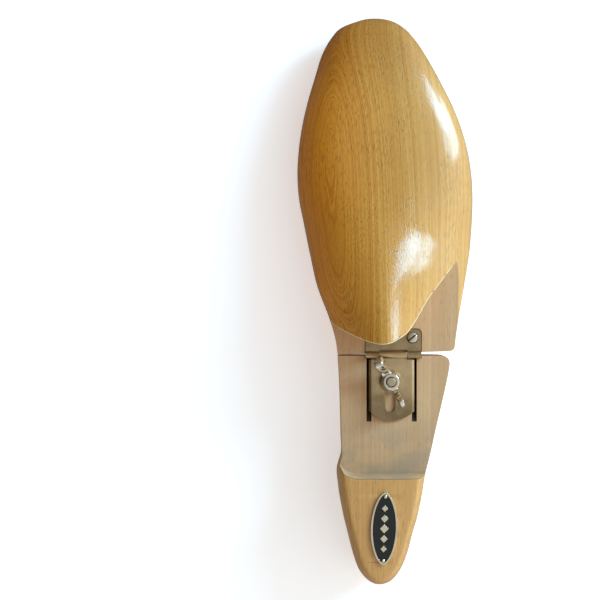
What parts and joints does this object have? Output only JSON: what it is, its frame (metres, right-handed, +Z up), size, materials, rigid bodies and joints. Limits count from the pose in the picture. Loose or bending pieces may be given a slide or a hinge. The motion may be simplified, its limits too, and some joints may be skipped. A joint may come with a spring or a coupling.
{
  "type": "shoe tree",
  "caption": "Hinged wooden shoe tree for a right shoe: a last-shaped forepart, a steel hinge with a slotted length adjuster and wing nut, and a raised heel.",
  "frame": {"origin": "middle of the bounding box in plan, on the surface that the sole lies on", "axes": "+Y along the foot towards the toe, +X to the lateral (outer) side of the right foot, +Z up"},
  "size_m": [0.088, 0.2814, 0.0615],
  "materials": {
    "beech": "clear gloss lacquer, raw on the flat tops beside the hinge",
    "hinge_steel": "satin nickel",
    "screw_steel": "bright nickel",
    "bright_chrome": "polished",
    "badge_metal": "polished rim",
    "badge_enamel": "black gloss enamel"
  },
  "bodies": {
    "forepart": {"forepart": "beech", "hinge_leaf": "hinge_steel", "leaf_screw_medial": "screw_steel", "leaf_screw_lateral": "screw_steel", "hinge_pin": "hinge_steel"},
    "adjuster": {"adjuster_plate": "hinge_steel"},
    "heel": {"heel_block": "beech", "clamp_stud": "screw_steel", "badge_plate": "badge_metal", "badge_inlay": "badge_enamel", "badge_pin_front": "badge_metal", "badge_pin_rear": "badge_metal"},
    "washer": {"clamp_washer": "screw_steel"},
    "nut": {"wing_nut": "bright_chrome"}
  },
  "joints": [
    {"name": "fold", "type": "hinge", "parent": "forepart", "child": "adjuster", "pos_m": [0.0032, -0.028, 0.0352], "axis": [-1, 0, 0], "range_deg": [0, 42]},
    {"name": "length_adjust", "type": "slide", "parent": "adjuster", "child": "heel", "axis": [0, -1, 0], "range_m": [0, 0.0125]},
    {"name": "nut_lift", "type": "slide", "parent": "heel", "child": "washer", "axis": [0, 0, 1], "range_m": [0, 0.00165]},
    {"name": "nut_turn", "type": "hinge", "parent": "washer", "child": "nut", "pos_m": [0.0017, -0.04085, 0.0371], "axis": [0, 0, 1], "range_deg": [0, 720]}
  ],
  "couplings": [
    {"joint": "nut_lift", "follows": "nut_turn", "m_per_rad": 0.00012732}
  ]
}
